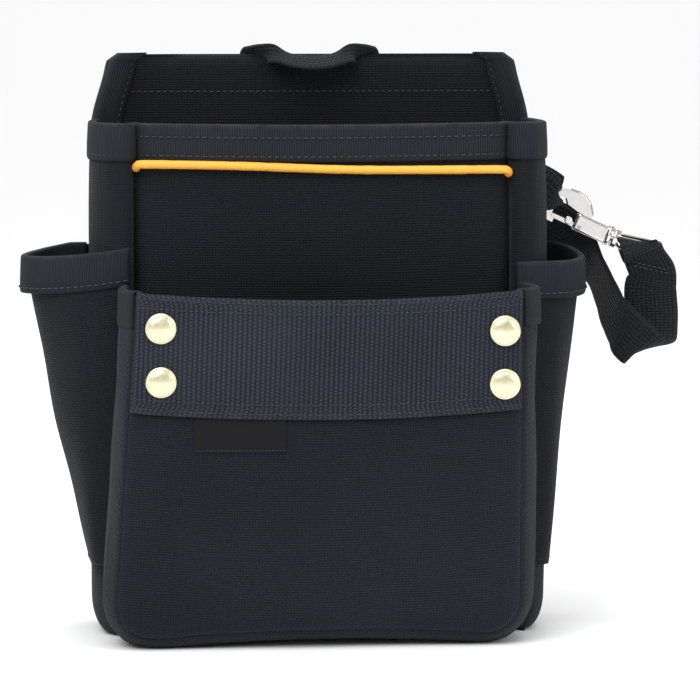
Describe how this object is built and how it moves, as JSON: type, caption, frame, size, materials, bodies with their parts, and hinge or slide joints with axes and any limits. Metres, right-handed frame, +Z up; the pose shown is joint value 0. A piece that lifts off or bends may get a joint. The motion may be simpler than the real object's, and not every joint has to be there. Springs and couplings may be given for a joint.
{
  "type": "electrician tool pouch",
  "caption": "Two-tier fabric tool pouch with side pockets, belt tunnel, riveted webbing band, hanging loop and a clip-on tape strap.",
  "frame": {"origin": "on the surface the pouch stands on, under the middle of its width, between its front and its back", "axes": "+Z up, the front pocket faces -Y, the belt tunnel faces +Y, the tape strap is on the +X side"},
  "size_m": [0.3017, 0.1217, 0.2664],
  "materials": {
    "pouch_fabric": "matt plain weave, coated",
    "binding_tape": "matt grosgrain tape",
    "band_webbing": "heavy ribbed webbing",
    "webbing": "woven webbing",
    "piping_cord": "satin covered cord",
    "label_fabric": "woven label",
    "stiff_board": "matt board",
    "rivet_brass": "pale gold plate, satin",
    "hook_nickel": "polished nickel plate",
    "spring_steel": "bright"
  },
  "bodies": {
    "pouch": {"back_lining": "pouch_fabric", "back_panel": "pouch_fabric", "belt_tunnel": "pouch_fabric", "main_front_panel": "pouch_fabric", "main_gusset_left": "pouch_fabric", "main_gusset_right": "pouch_fabric", "main_bottom": "pouch_fabric", "front_panel": "pouch_fabric", "front_gusset": "pouch_fabric", "side_pocket_left": "pouch_fabric", "side_pocket_right": "pouch_fabric", "edge_binding_left": "binding_tape", "edge_binding_right": "binding_tape", "main_front_binding": "binding_tape", "main_gusset_binding_left": "binding_tape", "main_gusset_binding_right": "binding_tape", "front_gusset_binding_left": "binding_tape", "front_gusset_binding_right": "binding_tape", "side_binding_left": "binding_tape", "side_binding_right": "binding_tape", "front_band": "band_webbing", "tape_strap": "webbing", "strap_fold": "webbing", "anchor_loop": "webbing", "handle_tabs": "webbing", "piping": "piping_cord", "label": "label_fabric", "back_board": "stiff_board", "bottom_board": "stiff_board", "rivet_caps": "rivet_brass", "rivet_burrs": "rivet_brass", "hook_eye": "hook_nickel"},
    "handle": {"handle_loop": "webbing"},
    "hook": {"hook_body": "hook_nickel", "gate_pin": "spring_steel", "gate_spring": "spring_steel"},
    "gate": {"hook_gate": "hook_nickel"}
  },
  "joints": [
    {"name": "handle_swing", "type": "hinge", "parent": "pouch", "child": "handle", "pos_m": [0, 0.0495, 0.2612], "axis": [-1, 0, 0], "range_deg": [0, 150]},
    {"name": "swivel_spin", "type": "hinge", "parent": "pouch", "child": "hook", "pos_m": [0.1366, 0.029, 0.1756], "axis": [-0.9078, 0, 0.4195], "range_deg": [-10, 10]},
    {"name": "gate_pivot", "type": "hinge", "parent": "hook", "child": "gate", "pos_m": [0.12125, 0.029, 0.18005], "axis": [0, 1, 0], "range_deg": [0, 14], "stiffness_Nm_per_rad": 0.02, "springref_deg": -28.65}
  ]
}
